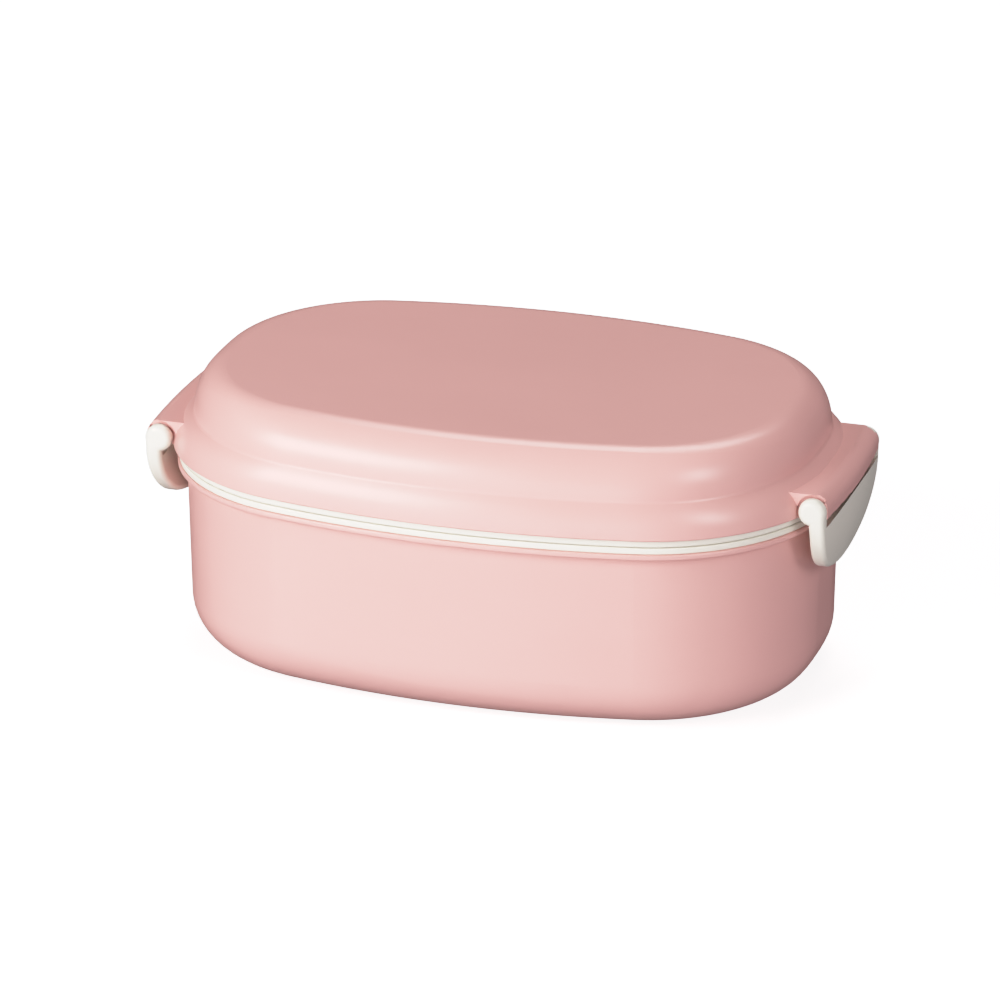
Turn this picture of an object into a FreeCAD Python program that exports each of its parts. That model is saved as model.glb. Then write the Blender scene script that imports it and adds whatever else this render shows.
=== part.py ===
import FreeCAD, Part
import math
import os

from FreeCAD import Placement, Rotation, Vector

# Driving dimensions, in millimetres and degrees.
# +X runs along the long side, +Y to the back, +Z up; the box stands on z = 0.

# Plan of the parting line: an oval of tangent arcs, two per end, side and corner
HALF_LENGTH = 83.0
HALF_WIDTH = 55.1
SIDE_RADIUS = 223.6
END_RADIUS = 157.5
CORNER_RADIUS = 46.3
PARTING_Z = 50.1

# Outer shell. Offsets are measured outwards from the oval of the parting line.
SHELL_WALL = 2.0
SHELL_DRAFT = 1.03
SHELL_EDGE_RADIUS = 12.9
WALL_TOP_OFFSET = -1.94
LIP_OFFSET = 0.45
LIP_BOTTOM_Z = PARTING_Z - 3.1
LIP_TOP_Z = PARTING_Z - 1.66
LIP_ROUND = 0.45
FOOT_OFFSET = -19.5
FOOT_HEIGHT = 0.8
FOOT_ROUND = 0.5

# Inner bowl, with an air gap to the shell
BOWL_WALL = 1.8
BOWL_DRAFT = 2.0
BOWL_OFFSET = -6.3
BOWL_BOTTOM_Z = 5.6
BOWL_EDGE_RADIUS = 10.0
BOWL_TOP_Z = PARTING_Z - 0.06
BOWL_FLANGE_ROUND = 0.4
BOWL_RING_OUT = -4.1
BOWL_RING_IN = -5.6
BOWL_RING_DEPTH = 3.4

# Inner lid
BAND_BOTTOM_Z = PARTING_Z + 0.06
BAND_TOP_Z = PARTING_Z + 2.1
BAND_ROUND = 0.6
PLUG_OUT = -8.9
PLUG_IN = -12.0
PLUG_BOTTOM_Z = PARTING_Z - 7.4
PANEL_TOP_Z = PARTING_Z - 0.1
PANEL_BOTTOM_Z = PARTING_Z - 1.9
PANEL_OFFSET = -13.4
GROOVE_IN = -10.4
GROOVE_LOW_Z = PARTING_Z - 5.6
GROOVE_HIGH_Z = PARTING_Z - 2.8
COLLAR_OUT = -1.0
COLLAR_IN = -2.5
COLLAR_TOP_Z = PARTING_Z + 4.6
GRIP_LENGTH = 26.0
GRIP_WIDTH = 3.2
GRIP_HEIGHT = 6.5
GRIP_ROUND = 1.4

# Gasket ring in the inner lid's groove
GASKET_OUT = -9.0
GASKET_BEAD_RADIUS = 0.45
GASKET_CLEARANCE = 0.1
GASKET_BEAD_SPACING = 1.2

# Vent in the inner lid, and its plug
VENT_X = 40.0
VENT_HOLE_RADIUS = 3.2
VENT_BOSS_RADIUS = 8.0
VENT_BOSS_HEIGHT = 0.8
PLUG_STEM_RADIUS = 2.95
PLUG_STEM_LENGTH = 4.4
PLUG_HEAD_RADIUS = 6.2
PLUG_HEAD_HEIGHT = 2.2
PLUG_HEAD_ROUND = 0.7
PLUG_TAB_LENGTH = 11.0
PLUG_TAB_WIDTH = 6.0
PLUG_TAB_HEIGHT = 1.2

# Outer lid
LID_WALL = 2.0
LID_BOTTOM_Z = PARTING_Z + 2.2
LID_SKIRT_OFFSET = 1.5
LID_BOTTOM_ROUND = 0.4
CREASE_INSET = 1.48
CREASE_END_INSET = 4.2
CREASE_Z = PARTING_Z + 10.8
CREASE_ROUND = 0.9
LID_TOP_INSET = 9.97
LID_TOP_Z = PARTING_Z + 22.1
LID_TOP_ROUND = 7.0
SKIRT_TURN = 38.0
SHOULDER_TURN = 74.0
LOFT_STEPS = 5

# Wings at the lid's ends
WING_INNER_X = 62.0
WING_OUTER_X = 88.2
WING_PLAN_RADIUS = 270.0
WING_HALF_WIDTH = 24.8
WING_TOP_Z = PARTING_Z + 8.5
WING_ROUND = 3.8
WING_UNDER_ROUND = 0.8
WING_WALL = 2.0
WING_CORE_HALF_WIDTH = 19.4
WING_CORE_DEPTH = 5.2
WING_RIB = 1.6

# Clip pivots, and the recess that each knob turns in
PIVOT_X = 83.5
PIVOT_Z = PARTING_Z + 4.35
RECESS_RADIUS = 4.1
RECESS_FLOOR_Y = 23.9
RECESS_OUTER_X = 86.3
BORE_RADIUS = 1.65
BORE_END_Y = 19.9

# Clips
KNOB_RADIUS = 3.4
KNOB_ROUND = 1.5
CLIP_INNER_Y = 24.95
CLIP_OUTER_Y = 27.4
PEG_RADIUS = 1.6
PEG_END_Y = 20.3
CLIP_OUTER_X = 88.0
CLIP_PLAN_RADIUS = 270.0
CLIP_THICKNESS = 3.9
CLIP_CURL_RADIUS = 52.0
CLIP_CURL_TOP_Z = PARTING_Z + 0.5
CLIP_BOTTOM_Z = PARTING_Z - 15.9
CLIP_BOTTOM_RADIUS = 50.0
CLIP_CORNER_RADIUS = 18.0
CLIP_SLOT_RADIUS = 5.15
CLIP_EDGE_ROUND = 1.15
CATCH_HALF_WIDTH = 10.0
CATCH_TIP_OFFSET = -0.35
CATCH_TOP_Z = LIP_BOTTOM_Z - 1.0
CATCH_SLOPE = 1.1
CATCH_HEIGHT = 2.6

# Divider and side dish tray, loose in the bowl
LOOSE_CLEARANCE = 0.6
DIVIDER_X = 14.0
DIVIDER_WALL = 1.6
DIVIDER_TOP_Z = PARTING_Z - 9.0
DIVIDER_FOOT = 10.0
DIVIDER_FOOT_HEIGHT = 1.4
DIVIDER_NOTCH_RADIUS = 14.0
DIVIDER_NOTCH_DEPTH = 4.0
TRAY_START_X = 21.0
TRAY_HEIGHT = 24.0
TRAY_WALL = 1.3
TRAY_CLEARANCE = 1.0
TRAY_HALF_WIDTH = 42.6
TRAY_CORNER_RADIUS = 7.0

BIG = 300.0


# An oval is its half length, half width, side radius, end radius and corner radius
PARTING_OVAL = (HALF_LENGTH, HALF_WIDTH, SIDE_RADIUS, END_RADIUS, CORNER_RADIUS)


def grown(oval, offset):
    """The oval moved outwards by an offset."""
    return tuple(size + offset for size in oval)


def between(first, second, part):
    """An oval part of the way from one oval to another."""
    return tuple(a + (b - a) * part for a, b in zip(first, second))


def outline_arcs(oval=PARTING_OVAL):
    """Centre, radius, start angle and sweep of each arc of an oval."""
    half_length, half_width, side_radius, end_radius, corner_radius = oval
    end_centre = half_length - end_radius
    side_centre = half_width - side_radius
    corner_x, corner_y = circle_meeting(
        (end_centre, 0), end_radius - corner_radius,
        (0, side_centre), side_radius - corner_radius)
    end_angle = math.degrees(math.atan2(corner_y, corner_x - end_centre))
    side_angle = math.degrees(math.atan2(corner_y - side_centre, corner_x))
    corner = side_angle - end_angle
    side = 180 - 2 * side_angle
    return [
        ((end_centre, 0), end_radius, -end_angle, 2 * end_angle),
        ((corner_x, corner_y), corner_radius, end_angle, corner),
        ((0, side_centre), side_radius, side_angle, side),
        ((-corner_x, corner_y), corner_radius, 180 - side_angle, corner),
        ((-end_centre, 0), end_radius, 180 - end_angle, 2 * end_angle),
        ((-corner_x, -corner_y), corner_radius, 180 + end_angle, corner),
        ((0, -side_centre), side_radius, 180 + side_angle, side),
        ((corner_x, -corner_y), corner_radius, -side_angle, corner),
    ]


def circle_meeting(centre_a, radius_a, centre_b, radius_b):
    """The point with positive coordinates where two circles cross."""
    dx = centre_b[0] - centre_a[0]
    dy = centre_b[1] - centre_a[1]
    gap = math.hypot(dx, dy)
    along = (gap ** 2 + radius_a ** 2 - radius_b ** 2) / (2 * gap)
    across = math.sqrt(radius_a ** 2 - along ** 2)
    foot_x = centre_a[0] + along * dx / gap
    foot_y = centre_a[1] + along * dy / gap
    first = (foot_x - across * dy / gap, foot_y + across * dx / gap)
    second = (foot_x + across * dy / gap, foot_y - across * dx / gap)
    return first if min(first) > min(second) else second


def line(start, end):
    """A straight edge in the offset and height plane."""
    return Part.LineSegment(Vector(start[0], 0, start[1]), Vector(end[0], 0, end[1])).toShape()


def arc(start, middle, end):
    """An arc through three points in the offset and height plane."""
    points = [Vector(p[0], 0, p[1]) for p in (start, middle, end)]
    return Part.Arc(*points).toShape()


def rounded_path(points):
    """Edges through (offset, height, radius) corners. A radius of 0 leaves the corner sharp."""
    edges = []
    here = points[0][:2]
    for corner, following in zip(points[1:-1], points[2:]):
        if corner[2] == 0:
            edges.append(line(here, corner[:2]))
            here = corner[:2]
            continue
        enter, middle, leave = tangent_arc(here, corner[:2], following[:2], corner[2])
        if math.dist(here, enter) > 1e-6:
            edges.append(line(here, enter))
        edges.append(arc(enter, middle, leave))
        here = leave
    edges.append(line(here, points[-1][:2]))
    return edges


def tangent_arc(before, corner, after, radius):
    """Start, middle and end of the arc that rounds a corner."""
    back = unit(corner, before)
    ahead = unit(corner, after)
    half = math.acos(back[0] * ahead[0] + back[1] * ahead[1]) / 2
    reach = radius / math.tan(half)
    inward = unit((0, 0), (back[0] + ahead[0], back[1] + ahead[1]))
    depth = radius / math.sin(half) - radius
    enter = (corner[0] + back[0] * reach, corner[1] + back[1] * reach)
    middle = (corner[0] + inward[0] * depth, corner[1] + inward[1] * depth)
    leave = (corner[0] + ahead[0] * reach, corner[1] + ahead[1] * reach)
    return enter, middle, leave


def unit(start, end):
    length = math.dist(start, end)
    return ((end[0] - start[0]) / length, (end[1] - start[1]) / length)


def drawn_round_oval(edges):
    """The faces that a profile sweeps as it goes once round the oval."""
    faces = []
    for centre, radius, start, sweep in outline_arcs():
        axis = Vector(centre[0], centre[1], 0)
        direction = Rotation(Vector(0, 0, 1), start)
        place = Placement(axis + direction.multVec(Vector(radius, 0, 0)), direction)
        for edge in edges:
            section = edge.copy()
            section.Placement = place
            faces.append(section.revolve(axis, Vector(0, 0, 1), sweep))
    return faces


def oval_wire(oval, height):
    """A closed wire of arcs at one height."""
    up = Vector(0, 0, 1)
    edges = []
    for centre, radius, start, sweep in outline_arcs(oval):
        where = Vector(centre[0], centre[1], height)
        edges.append(Part.makeCircle(radius, where, up, start, start + sweep))
    return Part.Wire(edges)


def oval_face(offset, height):
    """A flat face bounded by the parting oval, moved outwards by an offset."""
    return Part.Face(oval_wire(grown(PARTING_OVAL, offset), height))


def sewn(faces):
    """A closed solid from faces that meet edge to edge."""
    joined = Part.Compound(faces)
    joined.sewShape()
    solid = Part.makeSolid(joined.Shells[0])
    if solid.Volume < 0:
        solid.reverse()
    return solid.removeSplitter()


def oval_solid(edges):
    """A filled solid whose side is the profile, closed by a flat face at each end."""
    low = edges[0].Vertexes[0].Point
    high = edges[-1].Vertexes[-1].Point
    faces = drawn_round_oval(edges)
    faces.append(oval_face(low.x, low.z))
    faces.append(oval_face(high.x, high.z))
    return sewn(faces)


def oval_prism(offset, low, high):
    """A straight-sided oval block."""
    return oval_face(offset, low).extrude(Vector(0, 0, high - low))


def oval_ring(inner, outer, low, high):
    """A straight-sided oval ring."""
    return oval_prism(outer, low, high).cut(oval_prism(inner, low, high))


def draft_shift(height, degrees):
    """How far a drafted wall moves inwards over a height."""
    return height * math.tan(math.radians(degrees))


def box(low, high):
    """A block between two opposite corners."""
    size = [b - a for a, b in zip(low, high)]
    return Part.makeBox(*size, Vector(*low))


def mirrored_pair(shape):
    """A shape and its mirror image across the plane y = 0."""
    return shape.fuse(shape.mirror(Vector(0, 0, 0), Vector(0, 1, 0)))


def edges_at_height(shape, height):
    """The level edges of a shape at one height."""
    tolerance = 1e-4
    return [e for e in shape.Edges
            if abs(e.BoundBox.ZMin - height) < tolerance and abs(e.BoundBox.ZMax - height) < tolerance]


def make_outer_shell():
    """Pink box: drafted wall, rounded foot, and a lip that the clips hook under."""
    foot_corner = WALL_TOP_OFFSET - draft_shift(LIP_BOTTOM_Z, SHELL_DRAFT)
    outside = oval_solid(rounded_path([
        (FOOT_OFFSET, 0, 0),
        (foot_corner, 0, SHELL_EDGE_RADIUS),
        (WALL_TOP_OFFSET, LIP_BOTTOM_Z, LIP_ROUND),
        (LIP_OFFSET, LIP_BOTTOM_Z, LIP_ROUND),
        (LIP_OFFSET, LIP_TOP_Z, LIP_ROUND),
        (WALL_TOP_OFFSET, LIP_TOP_Z, 0),
    ]))
    floor_z = FOOT_HEIGHT + SHELL_WALL
    inside = oval_solid(rounded_path([
        (FOOT_OFFSET, floor_z, 0),
        (foot_corner - SHELL_WALL, floor_z, SHELL_EDGE_RADIUS - SHELL_WALL),
        (WALL_TOP_OFFSET - SHELL_WALL, LIP_TOP_Z, 0),
        (WALL_TOP_OFFSET - SHELL_WALL, LIP_TOP_Z + 1, 0),
    ]))
    under = oval_prism(FOOT_OFFSET, -FOOT_HEIGHT, FOOT_HEIGHT)
    under = under.makeFillet(FOOT_ROUND, edges_at_height(under, FOOT_HEIGHT))
    return outside.cut(inside).cut(under)


def bowl_cavity(clearance):
    """The space inside the bowl, smaller by a clearance all round."""
    floor_z = BOWL_BOTTOM_Z + BOWL_WALL + clearance
    top = BOWL_OFFSET - BOWL_WALL - clearance
    corner = top - draft_shift(BOWL_TOP_Z - floor_z, BOWL_DRAFT)
    radius = BOWL_EDGE_RADIUS - BOWL_WALL - clearance
    return oval_solid(rounded_path([
        (corner - BOWL_EDGE_RADIUS, floor_z, 0),
        (corner, floor_z, radius),
        (top, BOWL_TOP_Z, 0),
        (top, BOWL_TOP_Z + 1, 0),
    ]))


def make_inner_bowl():
    """White bowl whose flange rests on the shell's lip."""
    flange_z = LIP_TOP_Z
    corner = BOWL_OFFSET - draft_shift(flange_z - BOWL_BOTTOM_Z, BOWL_DRAFT)
    outside = oval_solid(rounded_path([
        (corner - BOWL_EDGE_RADIUS - 1, BOWL_BOTTOM_Z, 0),
        (corner, BOWL_BOTTOM_Z, BOWL_EDGE_RADIUS),
        (BOWL_OFFSET, flange_z, 0),
        (0, flange_z, BOWL_FLANGE_ROUND),
        (0, BOWL_TOP_Z, BOWL_FLANGE_ROUND),
        (BOWL_OFFSET, BOWL_TOP_Z, 0),
    ]))
    ring = oval_ring(BOWL_RING_IN, BOWL_RING_OUT, flange_z - BOWL_RING_DEPTH, flange_z)
    return outside.fuse(ring).cut(bowl_cavity(0)).removeSplitter()


def make_inner_lid():
    """White inner lid: edge band, collar, sunken panel and a plug that goes into the bowl."""
    band = oval_solid(rounded_path([
        (PLUG_OUT, BAND_BOTTOM_Z, 0),
        (0, BAND_BOTTOM_Z, BAND_ROUND),
        (0, BAND_TOP_Z, BAND_ROUND),
        (COLLAR_OUT, BAND_TOP_Z, 0),
    ]))
    plug = oval_prism(PLUG_OUT, PLUG_BOTTOM_Z, BAND_TOP_Z)
    under = oval_prism(PLUG_IN, PLUG_BOTTOM_Z - 1, PANEL_BOTTOM_Z)
    sunken = oval_prism(PANEL_OFFSET, PANEL_TOP_Z, BAND_TOP_Z + 1)
    collar = oval_ring(COLLAR_IN, COLLAR_OUT, BAND_TOP_Z, COLLAR_TOP_Z)
    groove = oval_ring(GROOVE_IN, PLUG_OUT + 1, GROOVE_LOW_Z, GROOVE_HIGH_Z)
    lid = band.fuse([plug, collar]).cut(under).cut(sunken).cut(groove)
    hole = vent_cylinder(VENT_HOLE_RADIUS, PANEL_BOTTOM_Z - 1, BAND_TOP_Z)
    lid = lid.fuse([lid_grip(), vent_boss()]).cut(hole)
    return lid.removeSplitter()


def lid_grip():
    """Upright bar in the middle of the inner lid, for lifting it out."""
    bar = box((-GRIP_WIDTH / 2, -GRIP_LENGTH / 2, PANEL_TOP_Z - 1),
              (GRIP_WIDTH / 2, GRIP_LENGTH / 2, PANEL_TOP_Z + GRIP_HEIGHT))
    return bar.makeFillet(GRIP_ROUND, edges_at_height(bar, PANEL_TOP_Z + GRIP_HEIGHT))


def vent_boss():
    """Round pad that the vent plug's head sits on."""
    return vent_cylinder(VENT_BOSS_RADIUS, PANEL_BOTTOM_Z, PANEL_TOP_Z + VENT_BOSS_HEIGHT)


def vent_cylinder(radius, low, high):
    return Part.makeCylinder(radius, high - low, Vector(VENT_X, 0, low))


def make_lid_gasket():
    """Silicone ring with two soft beads that press on the bowl's wall."""
    low = GROOVE_LOW_Z + GASKET_CLEARANCE
    high = GROOVE_HIGH_Z - GASKET_CLEARANCE
    body = oval_ring(GROOVE_IN + GASKET_CLEARANCE, GASKET_OUT, low, high)
    middle = (low + high) / 2
    beads = []
    for side in (-1, 1):
        height = middle + side * GASKET_BEAD_SPACING / 2
        bead_low = (GASKET_OUT, height - GASKET_BEAD_RADIUS)
        bead_tip = (GASKET_OUT + GASKET_BEAD_RADIUS, height)
        bead_high = (GASKET_OUT, height + GASKET_BEAD_RADIUS)
        beads.append(oval_solid([arc(bead_low, bead_tip, bead_high)]))
    return body.fuse([b.cut(oval_prism(GROOVE_IN + 1, low - 1, high + 1)) for b in beads]).removeSplitter()


def make_vent_plug():
    """Soft plug with a round head, a stem and a tab to pull it by."""
    seat_z = PANEL_TOP_Z + VENT_BOSS_HEIGHT
    head_top = seat_z + PLUG_HEAD_HEIGHT
    head = vent_cylinder(PLUG_HEAD_RADIUS, seat_z, head_top)
    head = head.makeFillet(PLUG_HEAD_ROUND, edges_at_height(head, head_top))
    stem = vent_cylinder(PLUG_STEM_RADIUS, seat_z - PLUG_STEM_LENGTH, seat_z)
    tab = box((VENT_X, -PLUG_TAB_WIDTH / 2, seat_z),
              (VENT_X + PLUG_TAB_LENGTH, PLUG_TAB_WIDTH / 2, seat_z + PLUG_TAB_HEIGHT))
    corners = [e for e in tab.Edges
               if e.BoundBox.ZLength > PLUG_TAB_HEIGHT / 2 and e.BoundBox.XMin > VENT_X + 1]
    tab = tab.makeFillet(PLUG_TAB_WIDTH / 2 - 0.1, corners)
    return head.fuse([stem, tab]).removeSplitter()


def rising_form(low_oval, low_z, high_oval, high_z, turn):
    """A solid whose side starts straight up and bends inwards through an angle."""
    wires = []
    for step in range(LOFT_STEPS + 1):
        angle = math.radians(turn) * step / LOFT_STEPS
        inwards = (1 - math.cos(angle)) / (1 - math.cos(math.radians(turn)))
        upwards = math.sin(angle) / math.sin(math.radians(turn))
        height = low_z + (high_z - low_z) * upwards
        wires.append(oval_wire(between(low_oval, high_oval, inwards), height))
    return Part.makeLoft(wires, True, False)


def crease_oval():
    """The crease runs further in at the ends of the lid than along its sides."""
    _, half_width, side_radius, end_radius, corner_radius = grown(PARTING_OVAL, -CREASE_INSET)
    return (HALF_LENGTH - CREASE_END_INSET, half_width, side_radius, end_radius, corner_radius)


def lid_outside():
    """The lid's outer form: a rounded skirt, a crease, a rounded shoulder and a flat top."""
    skirt_oval = grown(PARTING_OVAL, LID_SKIRT_OFFSET)
    top_oval = grown(PARTING_OVAL, -LID_TOP_INSET)
    skirt = rising_form(skirt_oval, LID_BOTTOM_Z, crease_oval(), CREASE_Z, SKIRT_TURN)
    shoulder = rising_form(crease_oval(), CREASE_Z, top_oval, LID_TOP_Z, SHOULDER_TURN)
    solid = skirt.fuse(shoulder).removeSplitter()
    solid = solid.makeFillet(LID_TOP_ROUND, edges_at_height(solid, LID_TOP_Z))
    solid = solid.makeFillet(CREASE_ROUND, edges_at_height(solid, CREASE_Z))
    return solid.makeFillet(LID_BOTTOM_ROUND, edges_at_height(solid, LID_BOTTOM_Z))


def lid_inside():
    """The lid's hollow, one wall thickness inside its outer form."""
    foot_oval = grown(PARTING_OVAL, LID_SKIRT_OFFSET - LID_WALL)
    neck_oval = grown(crease_oval(), -LID_WALL)
    ceiling_oval = grown(PARTING_OVAL, -LID_TOP_INSET)
    ceiling_z = LID_TOP_Z - LID_WALL
    skirt = rising_form(foot_oval, LID_BOTTOM_Z, neck_oval, CREASE_Z, SKIRT_TURN)
    shoulder = rising_form(neck_oval, CREASE_Z, ceiling_oval, ceiling_z, SHOULDER_TURN)
    return skirt.fuse(shoulder)


def wing_block(inset, half_width, top_z):
    """A block with the wing's curved outer face, moved inwards by an inset."""
    radius = WING_PLAN_RADIUS - inset
    centre = Vector(WING_OUTER_X - WING_PLAN_RADIUS, 0, LID_BOTTOM_Z)
    round_block = Part.makeCylinder(radius, top_z - LID_BOTTOM_Z, centre)
    window = box((WING_INNER_X, -half_width, LID_BOTTOM_Z), (BIG, half_width, top_z))
    return round_block.common(window)


def wing_core():
    """Two pockets that hollow the wing from below, with a rib between them."""
    top_z = LID_BOTTOM_Z + WING_CORE_DEPTH
    core = wing_block(WING_WALL, WING_CORE_HALF_WIDTH, top_z)
    skirt = oval_prism(LID_SKIRT_OFFSET + WING_WALL / 4, LID_BOTTOM_Z - 1, top_z + 1)
    rib = box((0, -WING_RIB / 2, LID_BOTTOM_Z - 1), (BIG, WING_RIB / 2, top_z + 1))
    return core.cut(skirt).cut(rib)


def pivot_cylinder(radius, low_y, high_y):
    """A cylinder on the clip's pivot axis, between two positive y values."""
    return Part.makeCylinder(radius, high_y - low_y, Vector(PIVOT_X, low_y, PIVOT_Z), Vector(0, 1, 0))


def wing_recess():
    """The shallow recess behind one knob, with a rim left along the wing's outer face."""
    round_part = pivot_cylinder(RECESS_RADIUS, RECESS_FLOOR_Y, WING_HALF_WIDTH + 1)
    inside_rim = box((0, 0, 0), (RECESS_OUTER_X, BIG, BIG))
    bore = pivot_cylinder(BORE_RADIUS, BORE_END_Y, WING_HALF_WIDTH)
    return round_part.common(inside_rim).fuse(bore)


def outer_edges(wing, height):
    """The wing's outermost level edge at one height."""
    return [e for e in edges_at_height(wing, height) if e.BoundBox.XMin > PIVOT_X]


def make_outer_lid():
    """Pink domed lid with a wing at each end."""
    wing = wing_block(0, WING_HALF_WIDTH, WING_TOP_Z)
    wing = wing.makeFillet(WING_ROUND, outer_edges(wing, WING_TOP_Z))
    wing = wing.makeFillet(WING_UNDER_ROUND, outer_edges(wing, LID_BOTTOM_Z))
    cuts = wing_core().fuse(mirrored_pair(wing_recess()))
    to_left = (Vector(0, 0, 0), Vector(1, 0, 0))
    lid = lid_outside().fuse([wing, wing.mirror(*to_left)]).removeSplitter()
    return lid.cut(lid_inside()).cut(cuts).cut(cuts.mirror(*to_left))


def clip_section():
    """Cross-section of the clip's sheet: straight at the top and curled inwards below."""
    centre = (CLIP_OUTER_X - CLIP_CURL_RADIUS, CLIP_CURL_TOP_Z)
    drop = CLIP_CURL_TOP_Z - CLIP_BOTTOM_Z + CLIP_THICKNESS
    angle = math.asin(drop / CLIP_CURL_RADIUS)
    inner_radius = CLIP_CURL_RADIUS - CLIP_THICKNESS

    def on_arc(radius, turn):
        return (centre[0] + radius * math.cos(turn), centre[1] - radius * math.sin(turn))

    outer = [on_arc(CLIP_CURL_RADIUS, t) for t in (0, angle / 2, angle)]
    inner = [on_arc(inner_radius, t) for t in (0, angle / 2, angle)]
    outer_top = (CLIP_OUTER_X, PIVOT_Z)
    inner_top = (CLIP_OUTER_X - CLIP_THICKNESS, PIVOT_Z)
    edges = [line(outer_top, outer[0]), arc(*outer), line(outer[2], inner[2]),
             arc(*reversed(inner)), line(inner[0], inner_top), line(inner_top, outer_top)]
    return Part.Face(Part.Wire(edges))


def clip_outline():
    """Outline of the clip seen along X: two arms and an arched plate."""
    corner_y = CLIP_OUTER_Y - CLIP_CORNER_RADIUS
    arch_z = CLIP_BOTTOM_Z + CLIP_BOTTOM_RADIUS
    reach = CLIP_BOTTOM_RADIUS - CLIP_CORNER_RADIUS
    corner_z = arch_z - math.sqrt(reach ** 2 - corner_y ** 2)
    turn = math.atan2(corner_y, arch_z - corner_z)

    def point(y, z):
        return Vector(0, y, z)

    join = (CLIP_BOTTOM_RADIUS * math.sin(turn), arch_z - CLIP_BOTTOM_RADIUS * math.cos(turn))
    half = (turn + math.pi / 2) / 2
    bend = (corner_y + CLIP_CORNER_RADIUS * math.sin(half), corner_z - CLIP_CORNER_RADIUS * math.cos(half))
    side = (CLIP_OUTER_Y, corner_z)
    edges = [
        Part.Arc(point(-join[0], join[1]), point(0, CLIP_BOTTOM_Z), point(*join)).toShape(),
        Part.Arc(point(*join), point(*bend), point(*side)).toShape(),
        Part.LineSegment(point(*side), point(CLIP_OUTER_Y, PIVOT_Z)).toShape(),
        Part.LineSegment(point(CLIP_OUTER_Y, PIVOT_Z), point(-CLIP_OUTER_Y, PIVOT_Z)).toShape(),
        Part.LineSegment(point(-CLIP_OUTER_Y, PIVOT_Z), point(-side[0], side[1])).toShape(),
        Part.Arc(point(-side[0], side[1]), point(-bend[0], bend[1]), point(-join[0], join[1])).toShape(),
    ]
    return Part.Face(Part.Wire(edges)).extrude(Vector(BIG, 0, 0))


def clip_catch():
    """Sloped rib inside the clip's plate that hooks under the shell's lip."""
    centre, radius, _, _ = outline_arcs()[0]
    back = CLIP_OUTER_X - CLIP_THICKNESS / 2 - HALF_LENGTH
    low_z = CATCH_TOP_Z - CATCH_HEIGHT
    corners = [(back, CATCH_TOP_Z), (CATCH_TIP_OFFSET + CATCH_SLOPE, CATCH_TOP_Z),
               (CATCH_TIP_OFFSET, CATCH_TOP_Z - CATCH_SLOPE), (CATCH_TIP_OFFSET, low_z + CATCH_SLOPE / 2),
               (back, low_z - CATCH_SLOPE)]
    points = [Vector(centre[0] + radius + s, 0, z) for s, z in corners]
    face = Part.Face(Part.makePolygon(points + points[:1]))
    half_turn = math.degrees(math.asin(CATCH_HALF_WIDTH / radius))
    axis = Vector(centre[0], centre[1], 0)
    face = face.rotated(axis, Vector(0, 0, 1), -half_turn)
    return face.revolve(axis, Vector(0, 0, 1), 2 * half_turn)


def clip_sheet():
    """The clip's outline in a curled sheet, softened along its rim."""
    axis = Vector(CLIP_OUTER_X - CLIP_PLAN_RADIUS, 0, 0)
    half_turn = math.degrees(math.asin(CLIP_OUTER_Y / CLIP_PLAN_RADIUS)) + 1
    section = clip_section().rotated(axis, Vector(0, 0, 1), -half_turn)
    sheet = section.revolve(axis, Vector(0, 0, 1), 2 * half_turn)
    sheet = sheet.common(clip_outline())
    bottom = [e for e in sheet.Edges
              if e.BoundBox.ZMin < CLIP_BOTTOM_Z + 0.1 and e.BoundBox.YLength > CLIP_CORNER_RADIUS]
    return sheet.makeFillet(CLIP_EDGE_ROUND, bottom)


def make_clip():
    """One-piece bail clip for the right end."""
    window = box((0, -CLIP_INNER_Y, PIVOT_Z - CLIP_SLOT_RADIUS / 2), (BIG, CLIP_INNER_Y, BIG))
    slot = pivot_cylinder(CLIP_SLOT_RADIUS, -CLIP_INNER_Y, CLIP_INNER_Y)
    frame = clip_sheet().cut(window.fuse(slot))
    knob = pivot_cylinder(KNOB_RADIUS, CLIP_INNER_Y, CLIP_OUTER_Y)
    rim = [e for e in knob.Edges if e.BoundBox.YMin > CLIP_OUTER_Y - 1e-4]
    knob = knob.makeFillet(KNOB_ROUND, rim)
    peg = pivot_cylinder(PEG_RADIUS, PEG_END_Y, CLIP_INNER_Y)
    return frame.fuse([mirrored_pair(knob.fuse(peg)), clip_catch()]).removeSplitter()


def make_divider():
    """Upright partition on a flat foot, with a finger notch in its top edge."""
    space = bowl_cavity(LOOSE_CLEARANCE)
    half = DIVIDER_WALL / 2
    floor_z = BOWL_BOTTOM_Z + BOWL_WALL
    wall = space.common(box((DIVIDER_X - half, -BIG, 0), (DIVIDER_X + half, BIG, DIVIDER_TOP_Z)))
    foot = space.common(box((DIVIDER_X - DIVIDER_FOOT / 2, -BIG, 0),
                            (DIVIDER_X + DIVIDER_FOOT / 2, BIG,
                             floor_z + LOOSE_CLEARANCE + DIVIDER_FOOT_HEIGHT)))
    centre = Vector(DIVIDER_X - half - 1, 0, DIVIDER_TOP_Z - DIVIDER_NOTCH_DEPTH + DIVIDER_NOTCH_RADIUS)
    notch = Part.makeCylinder(DIVIDER_NOTCH_RADIUS, DIVIDER_WALL + 2, centre, Vector(1, 0, 0))
    return wall.cut(notch).fuse(foot).removeSplitter()


def tray_form(wall, low_z, high_z):
    """The tray's outer form, or its hollow when a wall thickness is given."""
    slab = box((TRAY_START_X + wall, wall - TRAY_HALF_WIDTH, low_z), (BIG, TRAY_HALF_WIDTH - wall, high_z))
    corners = [e for e in slab.Edges
               if e.BoundBox.XMax < TRAY_START_X + 2 * wall + 1 and e.BoundBox.ZLength > TRAY_HEIGHT / 2]
    slab = slab.makeFillet(TRAY_CORNER_RADIUS - wall, corners)
    return bowl_cavity(TRAY_CLEARANCE + wall).common(slab)


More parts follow.
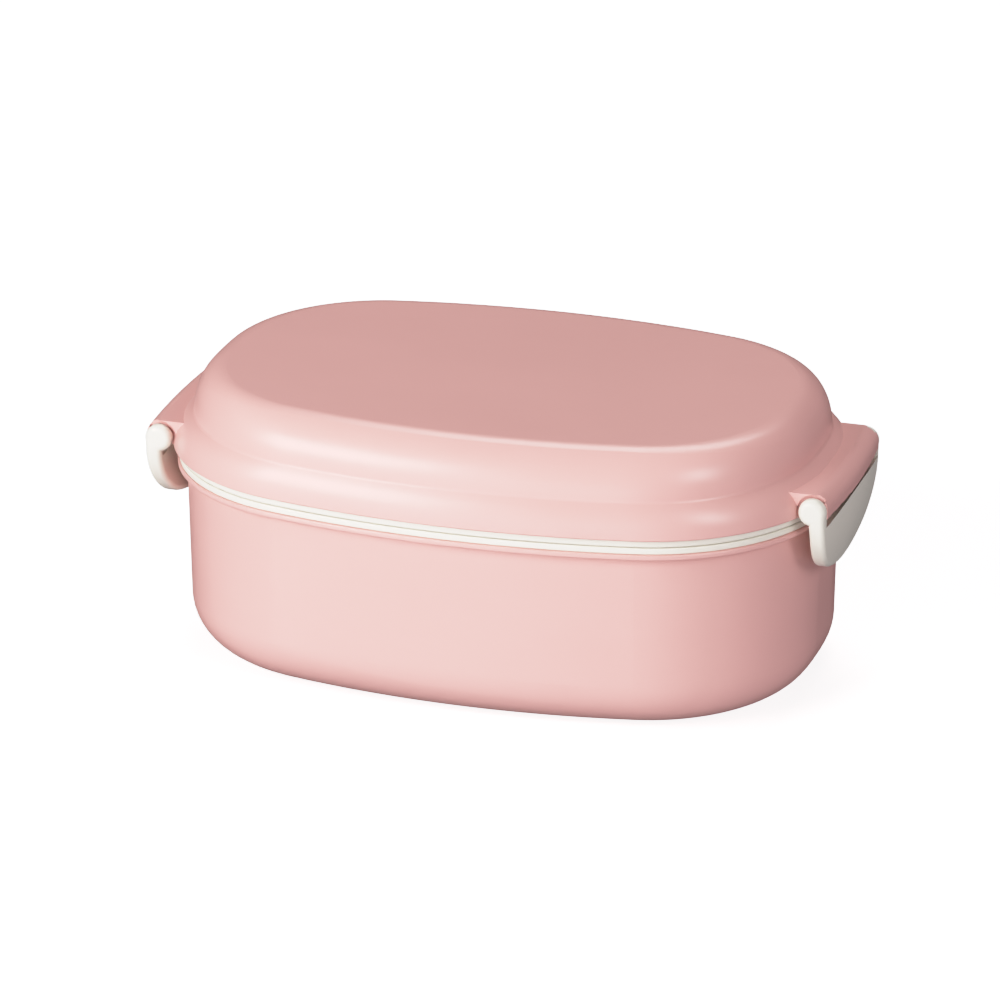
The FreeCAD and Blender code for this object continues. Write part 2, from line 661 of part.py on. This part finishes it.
def make_side_dish_tray():
    """Small open tray that follows the end of the bowl."""
    high_z = BOWL_BOTTOM_Z + BOWL_WALL + TRAY_HEIGHT
    return tray_form(0, 0, high_z).cut(tray_form(TRAY_WALL, 0, high_z + 1))


def main():
    os.makedirs("parts", exist_ok=True)
    right_clip = make_clip()
    parts = {
        "outer_shell": make_outer_shell(),
        "inner_bowl": make_inner_bowl(),
        "inner_lid": make_inner_lid(),
        "lid_gasket": make_lid_gasket(),
        "vent_plug": make_vent_plug(),
        "outer_lid": make_outer_lid(),
        "clip_right": right_clip,
        "clip_left": right_clip.mirror(Vector(0, 0, 0), Vector(1, 0, 0)),
        "divider": make_divider(),
        "side_dish_tray": make_side_dish_tray(),
    }
    for name, shape in parts.items():
        print(name, "solids", len(shape.Solids), "valid", shape.isValid(), "volume", round(shape.Volume))
        shape.exportStep("parts/" + name + ".step")


main()
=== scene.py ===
import math

import bpy
from mathutils import Matrix, Vector


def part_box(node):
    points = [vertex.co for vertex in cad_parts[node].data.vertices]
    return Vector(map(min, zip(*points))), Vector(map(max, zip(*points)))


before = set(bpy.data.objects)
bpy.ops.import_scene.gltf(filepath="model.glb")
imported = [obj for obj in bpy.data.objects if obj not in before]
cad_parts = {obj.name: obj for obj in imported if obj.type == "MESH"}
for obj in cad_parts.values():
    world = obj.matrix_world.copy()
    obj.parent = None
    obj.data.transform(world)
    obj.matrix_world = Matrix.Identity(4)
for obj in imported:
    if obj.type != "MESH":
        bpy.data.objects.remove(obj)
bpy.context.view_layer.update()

MM = 0.001

# Camera: a long lens, in front and a little to the right, looking down at the
# middle of the gap between the bowl's rim and the inner lid
RIM_GAP = 0.12 * MM
CAMERA_AZIMUTH = 17.593
CAMERA_ELEVATION = 21.536
CAMERA_DISTANCE = 1.4601
CAMERA_LENS = 212.3
CAMERA_SENSOR = 36.0
CAMERA_NEAR = 0.01
AIM_RIGHT = -3.01 * MM
AIM_UP = -11.2 * MM

# Lights aim at the middle of the object. Each has an azimuth counted from the front and
# positive to the right, an elevation, a distance, a size in metres and a power in watts.
LIGHT_TARGET = (0, 0, 0.04)
KEY_LIGHT = (-37, 25, 0.85, (0.52, 0.34), 4.9)
FRONT_LIGHT = (-14, 2, 1.2, (1.4, 0.60), 13.2)
SIDE_LIGHT = (57, 29, 1.3, (0.36, 0.45), 3.9)
BACK_LIGHT = (-176, 60, 1.3, (0.9, 0.55), 7.8)

FLOOR_SIZE = 8.0
FLOOR_PATCHES = 0.5
FLOOR_ROUGHNESS = 0.9
FLOOR_SPECULAR = 0.1
FLOOR_DARK = (0.88, 0.88, 0.88, 1)
FLOOR_LIGHT = (0.9, 0.9, 0.9, 1)

# Room: strength of its light from each side
HORIZON = 0.05
ROOM_ABOVE = 0.10
ROOM_BELOW = 0.36
ROOM_RIGHT = 0.27
ROOM_COLOUR = (0.99, 0.93, 1.0, 1.0)

# Camera response: light in, picture value out. It is straight up to a knee, then bends over.
RESPONSE = (
    (0.0, 0.0),
    (0.3, 0.3),
    (0.6, 0.6),
    (0.75, 0.715),
    (0.95, 0.823),
    (1.2, 0.892),
    (1.4, 0.935),
    (1.6, 1.0),
)
COMBINED_CURVE = 3

PINK = (0.802, 0.445, 0.415)
INSERT_PINK = (0.78, 0.47, 0.44)
WHITE = (0.85, 0.815, 0.72)
SILICONE = (0.80, 0.79, 0.76)

# A noise value lies mostly between these two
NOISE_LOW = 0.3
NOISE_HIGH = 0.7

# Each plastic: colour, roughness and depth of grain
PINK_SATIN = (PINK, 0.30, 0.0018 * MM)
WHITE_SATIN = (WHITE, 0.36, 0.0018 * MM)
WHITE_GLOSS = (WHITE, 0.30, 0.0015 * MM)
INSERT_SATIN = (INSERT_PINK, 0.42, 0.0025 * MM)
TONE_SPREAD = 0.02
WHITE_SPREAD = 0.01
SCUFF = 0.25
CLIP_SCUFF = 0.4
PLASTIC_SPECULAR = 0.5

# Marks on moulded plastic
FLOW_SIZE = 45 * MM
FLOW_STRETCH = (0.6, 1.0, 1.4)
GLOSS_SIZE = 14 * MM
SPECKLE_SIZE = 0.8 * MM
SINK_SIZE = 28 * MM
SINK_DEPTH = 0.04 * MM
GRAIN_SIZE = 0.6 * MM
EDGE_WEAR_WIDTH = 0.5 * MM
EDGE_WEAR_SAMPLES = 4
EDGE_WEAR_BREAKS = 5 * MM
EDGE_WEAR_BREAK_RANGE = (0.35, 0.65)
EDGE_WEAR_ROUGHENING = 0.06

# How alike the rounded and the true normal are on a worn edge and on a plain face
EDGE_LIKENESS = 0.80
FACE_LIKENESS = 0.99

RUBBED_SATURATION = 0.9
RUBBED_VALUE = 1.05
HAIRLINE_WIDTH = 0.35 * MM
LENGTHWISE_STRETCH = (0.03, 1.0, 1.0)
LENGTHWISE_RANGE = (0.70, 0.78)
CROSSWISE_STRETCH = (1.0, 0.04, 0.5)
CROSSWISE_RANGE = (0.72, 0.80)
HAIRLINE_DEPTH = 0.0004 * MM

# How far gloss varies. The pink is blotchy if its roughness goes much below 0.28.
GLOSS_PATCHES = 0.012
GLOSS_SPECKLE = 0.010

# Marks on silicone
CLOUD_SIZE = 9 * MM
CLOUD_SPREAD = 0.04
DUST_SIZE = 2 * MM
RUBBER_GRAIN_SIZE = 0.4 * MM
RUBBER_GRAIN_DEPTH = 0.01 * MM
RUBBER_ROUGHNESS = (0.5, 0.62)
RUBBER_SPECULAR = 0.4
RUBBER_GLOW = 0.1
RUBBER_DEPTH_OF_GLOW = 1.5 * MM


def tone_stops(dark, light):
    """Colour ramp stops that take the middle of a noise from dark to light."""
    return [(NOISE_LOW, dark), (NOISE_HIGH, light)]


def colour_pair(colour, spread):
    """Two shades of a colour, one a little darker and one a little lighter."""
    dark = tuple(c * (1 - spread) for c in colour) + (1.0,)
    light = tuple(min(1.0, c * (1 + spread)) for c in colour) + (1.0,)
    return dark, light


class Surface:
    """A node material that is built up one layer at a time."""

    def __init__(self, name):
        self.material = bpy.data.materials.new(name)
        self.material.use_nodes = True
        self.nodes = self.material.node_tree.nodes
        self.links = self.material.node_tree.links
        self.shader = self.nodes["Principled BSDF"]
        self.place = self.nodes.new("ShaderNodeTexCoord").outputs["Object"]

    def noise(self, size, detail=2.0, roughness=0.5, stretch=(1, 1, 1)):
        """Noise whose features are about as large as size, in metres."""
        mapping = self.nodes.new("ShaderNodeMapping")
        mapping.inputs["Scale"].default_value = [s / size for s in stretch]
        self.links.new(self.place, mapping.inputs["Vector"])
        texture = self.nodes.new("ShaderNodeTexNoise")
        texture.inputs["Scale"].default_value = 1.0
        texture.inputs["Detail"].default_value = detail
        texture.inputs["Roughness"].default_value = roughness
        self.links.new(mapping.outputs["Vector"], texture.inputs["Vector"])
        return texture.outputs["Fac"]

    def spread(self, value, low, high, start=NOISE_LOW, end=NOISE_HIGH):
        """A noise value stretched from start..end to low..high."""
        node = self.nodes.new("ShaderNodeMapRange")
        node.inputs["From Min"].default_value = start
        node.inputs["From Max"].default_value = end
        node.inputs["To Min"].default_value = low
        node.inputs["To Max"].default_value = high
        self.links.new(value, node.inputs["Value"])
        return node.outputs["Result"]

    def ramp(self, value, stops):
        """A colour ramp through (position, colour) stops."""
        node = self.nodes.new("ShaderNodeValToRGB")
        elements = node.color_ramp.elements
        while len(elements) < len(stops):
            elements.new(1.0)
        for element, (position, colour) in zip(elements, stops):
            element.position = position
            element.color = colour
        self.links.new(value, node.inputs["Fac"])
        return node.outputs["Color"]

    def mix(self, amount, first, second):
        """The first colour where amount is 0 and the second where it is 1."""
        node = self.nodes.new("ShaderNodeMix")
        node.data_type = "RGBA"
        self.links.new(amount, node.inputs["Factor"])
        self.links.new(first, node.inputs["A"])
        self.links.new(second, node.inputs["B"])
        return node.outputs["Result"]

    def bump(self, height, depth, below=None):
        """A layer of relief, depth metres deep, over the relief below it."""
        node = self.nodes.new("ShaderNodeBump")
        node.inputs["Distance"].default_value = depth
        node.inputs["Strength"].default_value = 1.0
        self.links.new(height, node.inputs["Height"])
        if below is not None:
            self.links.new(below, node.inputs["Normal"])
        return node.outputs["Normal"]

    def add(self, first, second):
        """The sum of two values."""
        node = self.nodes.new("ShaderNodeMath")
        self.links.new(first, node.inputs[0])
        self.links.new(second, node.inputs[1])
        return node.outputs["Value"]

    def paler(self, colour):
        """The same colour where handling has scuffed it: a little lighter and greyer."""
        node = self.nodes.new("ShaderNodeHueSaturation")
        node.inputs["Saturation"].default_value = RUBBED_SATURATION
        node.inputs["Value"].default_value = RUBBED_VALUE
        self.links.new(colour, node.inputs["Color"])
        return node.outputs["Color"]

    def edge_wear(self, amount):
        """How worn each place is, from 0 to 1, and that value times the amount of fading."""
        rounded = self.nodes.new("ShaderNodeBevel")
        rounded.samples = EDGE_WEAR_SAMPLES
        rounded.inputs["Radius"].default_value = EDGE_WEAR_WIDTH
        true_normal = self.nodes.new("ShaderNodeNewGeometry").outputs["Normal"]
        likeness = self.nodes.new("ShaderNodeVectorMath")
        likeness.operation = "DOT_PRODUCT"
        self.links.new(rounded.outputs["Normal"], likeness.inputs[0])
        self.links.new(true_normal, likeness.inputs[1])
        bend = self.spread(likeness.outputs["Value"], 1.0, 0.0, EDGE_LIKENESS, FACE_LIKENESS)
        breaks = self.noise(EDGE_WEAR_BREAKS, detail=5.0, roughness=0.65)
        broken = self.spread(breaks, 0.0, 1.0, *EDGE_WEAR_BREAK_RANGE)
        worn = self.nodes.new("ShaderNodeMath")
        worn.operation = "MULTIPLY"
        self.links.new(bend, worn.inputs[0])
        self.links.new(broken, worn.inputs[1])
        return worn.outputs["Value"], self.spread(worn.outputs["Value"], 0.0, amount, 0.0, 1.0)

    def hairlines(self):
        """Sparse fine scratches in two directions, as cleaning leaves them."""
        lengthwise = self.noise(HAIRLINE_WIDTH, detail=0.0, stretch=LENGTHWISE_STRETCH)
        crosswise = self.noise(HAIRLINE_WIDTH, detail=0.0, stretch=CROSSWISE_STRETCH)
        first = self.spread(lengthwise, 0.0, -1.0, *LENGTHWISE_RANGE)
        second = self.spread(crosswise, 0.0, -1.0, *CROSSWISE_RANGE)
        return self.add(first, second)

    def set(self, **values):
        for name, value in values.items():
            self.shader.inputs[name.replace("_", " ")].default_value = value

    def feed(self, name, output):
        self.links.new(output, self.shader.inputs[name])


def moulded_plastic(name, colour, roughness, grain_depth, spread=TONE_SPREAD, scuff=SCUFF):
    """Injection-moulded plastic, from its slowest change of tone to its finest grain."""
    surface = Surface(name)
    dark, light = colour_pair(colour, spread)
    flow = surface.noise(FLOW_SIZE, detail=3.0, stretch=FLOW_STRETCH)
    tone = surface.ramp(flow, tone_stops(dark, light))
    worn, rubbed = surface.edge_wear(scuff)
    surface.feed("Base Color", surface.mix(rubbed, tone, surface.paler(tone)))
    patches = surface.spread(surface.noise(GLOSS_SIZE, detail=3.0), -GLOSS_PATCHES, GLOSS_PATCHES)
    speckle = surface.spread(surface.noise(SPECKLE_SIZE), -GLOSS_SPECKLE, GLOSS_SPECKLE)
    edges = surface.spread(worn, roughness, roughness + EDGE_WEAR_ROUGHENING, 0, 1)
    surface.feed("Roughness", surface.add(surface.add(patches, speckle), edges))
    sink = surface.bump(surface.noise(SINK_SIZE, detail=1.0), SINK_DEPTH)
    hair = surface.bump(surface.hairlines(), HAIRLINE_DEPTH, below=sink)
    surface.feed("Normal", surface.bump(surface.noise(GRAIN_SIZE, detail=1.0), grain_depth, below=hair))
    surface.set(Specular_IOR_Level=PLASTIC_SPECULAR)
    return surface.material


def soft_silicone(name, colour):
    """Slightly cloudy rubber with a dry, soft sheen and a trace of dust."""
    surface = Surface(name)
    dark, light = colour_pair(colour, CLOUD_SPREAD)
    cloud = surface.noise(CLOUD_SIZE, detail=4.0)
    surface.feed("Base Color", surface.ramp(cloud, tone_stops(dark, light)))
    surface.feed("Roughness", surface.spread(surface.noise(DUST_SIZE, detail=3.0), *RUBBER_ROUGHNESS))
    surface.feed("Normal", surface.bump(surface.noise(RUBBER_GRAIN_SIZE), RUBBER_GRAIN_DEPTH))
    surface.set(Specular_IOR_Level=RUBBER_SPECULAR)
    surface.set(Subsurface_Weight=RUBBER_GLOW, Subsurface_Scale=RUBBER_DEPTH_OF_GLOW)
    return surface.material


def finish(node, material):
    """Puts a material in every slot of a CAD node."""
    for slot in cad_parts[node].material_slots:
        slot.material = material


def camera_axes(azimuth, elevation):
    """Right, up and backward directions of a camera that looks at the box."""
    az = math.radians(azimuth)
    el = math.radians(elevation)
    right = Vector((math.cos(az), math.sin(az), 0))
    back = Vector((math.sin(az) * math.cos(el), -math.cos(az) * math.cos(el), math.sin(el)))
    return right, back.cross(right), back


def pose_towards(azimuth, elevation, distance, target, aim_right=0.0, aim_up=0.0):
    """A placement that looks at a target from a direction and a distance."""
    right, up, back = camera_axes(azimuth, elevation)
    place = target + back * distance + right * aim_right + up * aim_up
    turn = Matrix((right, up, back)).transposed()
    return Matrix.Translation(place) @ turn.to_4x4()


def make_camera():
    camera = bpy.data.cameras.new("camera")
    camera.lens = CAMERA_LENS
    camera.sensor_width = CAMERA_SENSOR
    camera.clip_start = CAMERA_NEAR
    item = bpy.data.objects.new("camera", camera)
    bpy.context.scene.collection.objects.link(item)
    rim = Vector((0, 0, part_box("inner_bowl")[1].z + RIM_GAP / 2))
    item.matrix_world = pose_towards(
        CAMERA_AZIMUTH, CAMERA_ELEVATION, CAMERA_DISTANCE, rim, AIM_RIGHT, AIM_UP)
    bpy.context.scene.camera = item


def make_softbox(name, azimuth, elevation, distance, size, power, mirrored=True):
    """A soft panel that faces the object. One that is not mirrored only brightens it."""
    light = bpy.data.lights.new(name, "AREA")
    light.shape = "RECTANGLE"
    light.size, light.size_y = size
    light.energy = power
    item = bpy.data.objects.new(name, light)
    bpy.context.scene.collection.objects.link(item)
    target = Vector(LIGHT_TARGET)
    item.matrix_world = pose_towards(azimuth, elevation, distance, target)
    item.visible_glossy = mirrored


def make_floor():
    """A glowing pale floor. Bounced light and mirror images do not see it."""
    half = FLOOR_SIZE / 2
    mesh = bpy.data.meshes.new("floor")
    corners = [(-half, -half, 0), (half, -half, 0), (half, half, 0), (-half, half, 0)]
    mesh.from_pydata(corners, [], [(0, 1, 2, 3)])
    item = bpy.data.objects.new("floor", mesh)
    bpy.context.scene.collection.objects.link(item)
    surface = Surface("floor_paint")
    patches = surface.noise(FLOOR_PATCHES)
    surface.feed("Base Color", surface.ramp(patches, tone_stops(FLOOR_DARK, FLOOR_LIGHT)))
    surface.set(Roughness=FLOOR_ROUGHNESS, Specular_IOR_Level=FLOOR_SPECULAR)
    surface.set(Emission_Color=(1, 1, 1, 1), Emission_Strength=1.0)
    item.visible_diffuse = False
    item.visible_glossy = False
    mesh.materials.append(surface.material)


def make_world():
    """A dim room: light off the table below, less from above, and a wall on the right."""
    world = bpy.data.worlds.new("studio")
    bpy.context.scene.world = world
    world.use_nodes = True
    nodes, links = world.node_tree.nodes, world.node_tree.links
    direction = nodes.new("ShaderNodeTexCoord").outputs["Generated"]
    split = nodes.new("ShaderNodeSeparateXYZ")
    links.new(direction, split.inputs["Vector"])

    def graded(axis, start, end, low, high):
        node = nodes.new("ShaderNodeMapRange")
        for name, value in zip(("From Min", "From Max", "To Min", "To Max"), (start, end, low, high)):
            node.inputs[name].default_value = value
        links.new(split.outputs[axis], node.inputs["Value"])
        return node.outputs["Result"]

    strength = nodes.new("ShaderNodeMath")
    links.new(graded("Z", -HORIZON, HORIZON, ROOM_BELOW, ROOM_ABOVE), strength.inputs[0])
    links.new(graded("X", 0.0, 1.0, 0.0, ROOM_RIGHT), strength.inputs[1])
    background = nodes["Background"]
    background.inputs["Color"].default_value = ROOM_COLOUR
    world.cycles_visibility.glossy = False
    links.new(strength.outputs["Value"], background.inputs["Strength"])


def set_response():
    """The soft shoulder of a camera's response, on the standard display transform."""
    view = bpy.context.scene.view_settings
    view.view_transform = "Standard"
    view.use_curve_mapping = True
    mapping = view.curve_mapping
    mapping.clip_max_x = RESPONSE[-1][0]
    curve = mapping.curves[COMBINED_CURVE]
    while len(curve.points) < len(RESPONSE):
        curve.points.new(1.0, 1.0)
    for point, place in zip(curve.points, RESPONSE):
        point.location = place
        point.handle_type = "AUTO_CLAMPED"
    mapping.update()


make_camera()
make_floor()
make_world()
set_response()
make_softbox("key", *KEY_LIGHT)
make_softbox("front", *FRONT_LIGHT, mirrored=False)
make_softbox("side", *SIDE_LIGHT)
make_softbox("back", *BACK_LIGHT)

pink = moulded_plastic("pink_satin", *PINK_SATIN)
white = moulded_plastic("white_satin", *WHITE_SATIN, spread=WHITE_SPREAD)
clip_white = moulded_plastic("white_gloss", *WHITE_GLOSS, spread=WHITE_SPREAD, scuff=CLIP_SCUFF)
insert_pink = moulded_plastic("insert_pink", *INSERT_SATIN)
silicone = soft_silicone("silicone", SILICONE)
for node in ("outer_shell", "outer_lid"):
    finish(node, pink)
for node in ("inner_bowl", "inner_lid", "divider"):
    finish(node, white)
for node in ("clip_right", "clip_left"):
    finish(node, clip_white)
for node in ("lid_gasket", "vent_plug"):
    finish(node, silicone)
finish("side_dish_tray", insert_pink)
